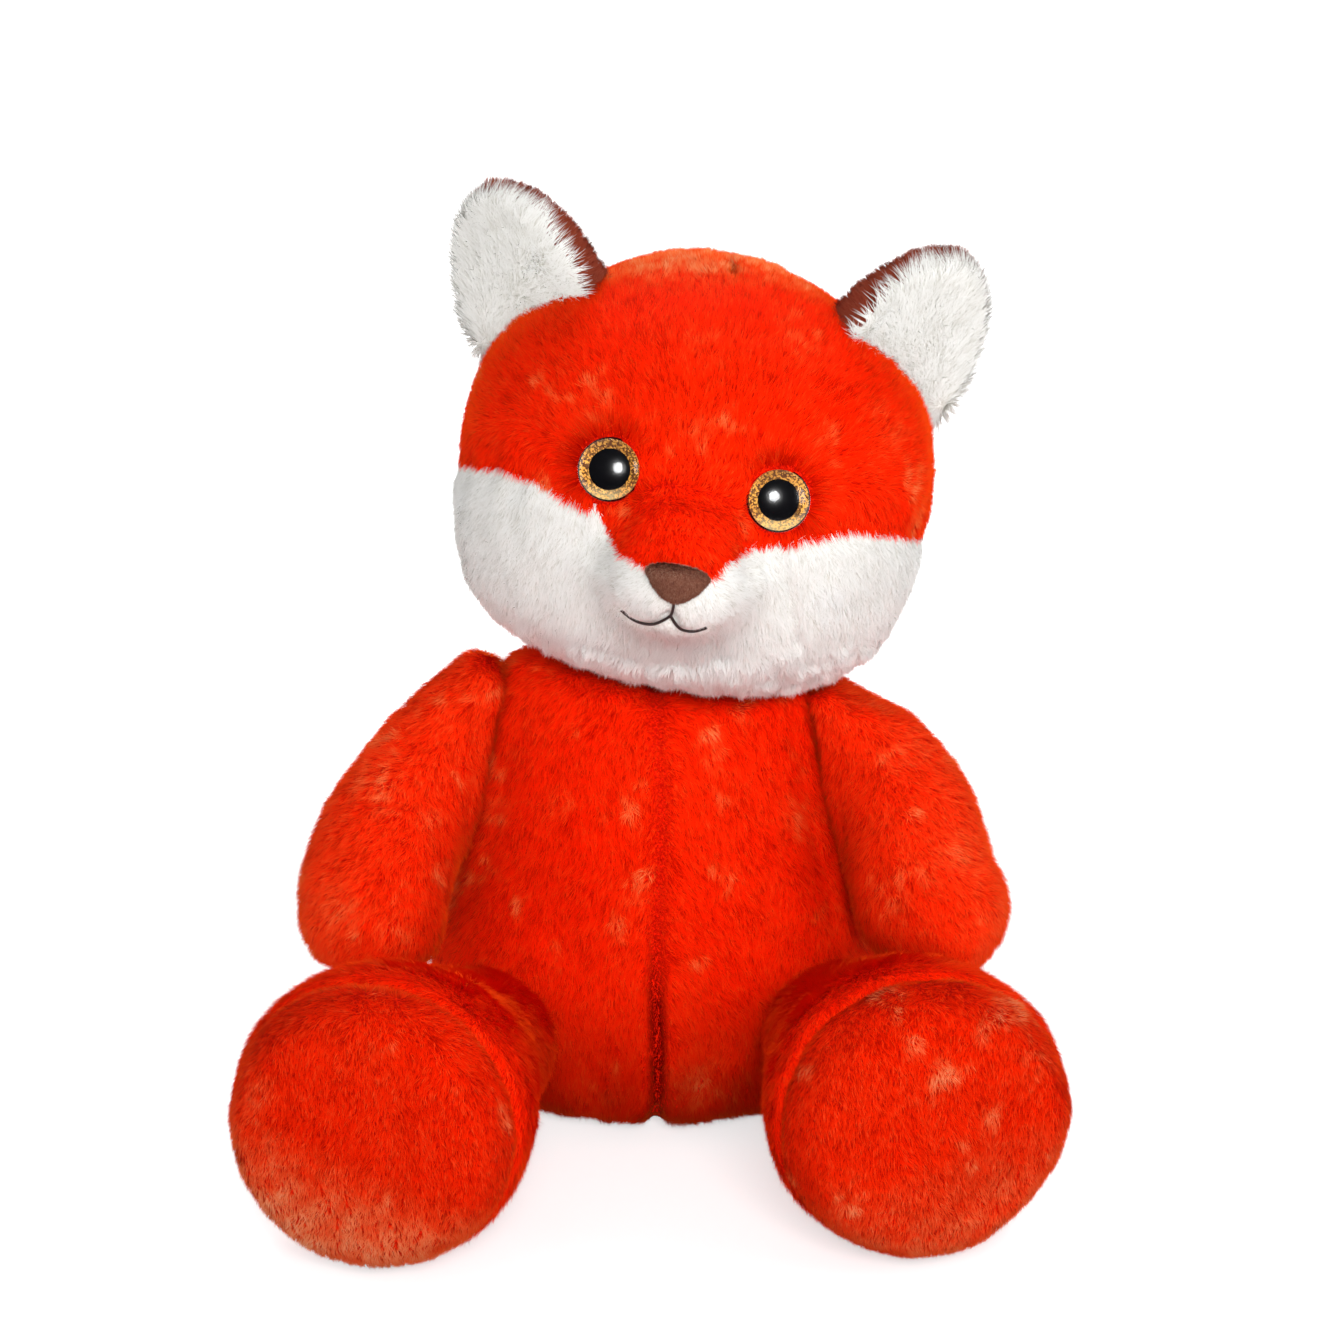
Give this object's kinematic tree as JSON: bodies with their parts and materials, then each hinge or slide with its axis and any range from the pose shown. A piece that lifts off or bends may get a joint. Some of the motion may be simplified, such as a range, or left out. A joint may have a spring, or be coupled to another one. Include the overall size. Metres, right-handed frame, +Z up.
{
  "type": "plush fox",
  "caption": "Sitting stuffed toy fox with a turning head, swinging arms, legs and tail, two-part ears and domed safety eyes; it rests on a flat seat and the soles of its feet point forward.",
  "frame": {"origin": "the middle of the torso's flat seat, on the floor that the fox sits on", "axes": "+Z up, the fox looks along -Y, and its own left side is +X"},
  "size_m": [0.4181, 0.4859, 0.4936],
  "materials": {
    "orange_pile": "soft pile of about 10 mm, brushed down",
    "sole_pile": "shorter pile of about 6 mm",
    "white_pile": "soft pile of about 8 mm",
    "brown_pile": "soft pile of about 8 mm",
    "nose_pile": "velvet, under 1 mm",
    "clear_plastic": "clear and polished",
    "glitter_film": "fine gold glitter",
    "black_plastic": "gloss",
    "pale_plastic": "moulded, unpainted"
  },
  "bodies": {
    "torso": {"torso": "orange_pile"},
    "head": {"head_crown": "orange_pile", "head_cheeks": "white_pile", "muzzle": "white_pile", "nose_bridge": "orange_pile", "nose": "nose_pile", "eye_left_lens": "clear_plastic", "eye_left_iris": "glitter_film", "eye_left_pupil_post": "black_plastic", "eye_left_washer": "pale_plastic", "eye_right_lens": "clear_plastic", "eye_right_iris": "glitter_film", "eye_right_pupil_post": "black_plastic", "eye_right_washer": "pale_plastic", "ear_left_lining": "white_pile", "ear_left_back": "brown_pile", "ear_right_lining": "white_pile", "ear_right_back": "brown_pile"},
    "arm_left": {"arm_left": "orange_pile"},
    "arm_right": {"arm_right": "orange_pile"},
    "leg_left": {"leg_left": "orange_pile", "foot_left_sole": "sole_pile"},
    "leg_right": {"leg_right": "orange_pile", "foot_right_sole": "sole_pile"},
    "tail": {"tail": "orange_pile", "tail_tip": "white_pile"}
  },
  "joints": [
    {"name": "head_turn", "type": "hinge", "parent": "torso", "child": "head", "pos_m": [0.02162, -0.01, 0.34628], "axis": [0.1736, 0, 0.9848], "range_deg": [-30, 30], "stiffness_Nm_per_rad": 0.5},
    {"name": "arm_left_raise", "type": "hinge", "parent": "torso", "child": "arm_left", "pos_m": [0.09006, 0, 0.22611], "axis": [0, 1, 0], "range_deg": [-45, 0]},
    {"name": "arm_right_raise", "type": "hinge", "parent": "torso", "child": "arm_right", "pos_m": [-0.09006, 0, 0.22611], "axis": [0, 1, 0], "range_deg": [0, 60]},
    {"name": "leg_left_splay", "type": "hinge", "parent": "torso", "child": "leg_left", "pos_m": [0.08696, -0.04003, 0.05067], "axis": [0, 0, 1], "range_deg": [-12, 5]},
    {"name": "leg_right_splay", "type": "hinge", "parent": "torso", "child": "leg_right", "pos_m": [-0.08055, -0.05174, 0.05067], "axis": [0, 0, 1], "range_deg": [-5, 12]},
    {"name": "tail_swing", "type": "hinge", "parent": "torso", "child": "tail", "pos_m": [0, 0.0828, 0.03589], "axis": [0, 0, 1], "range_deg": [-20, 20]}
  ]
}
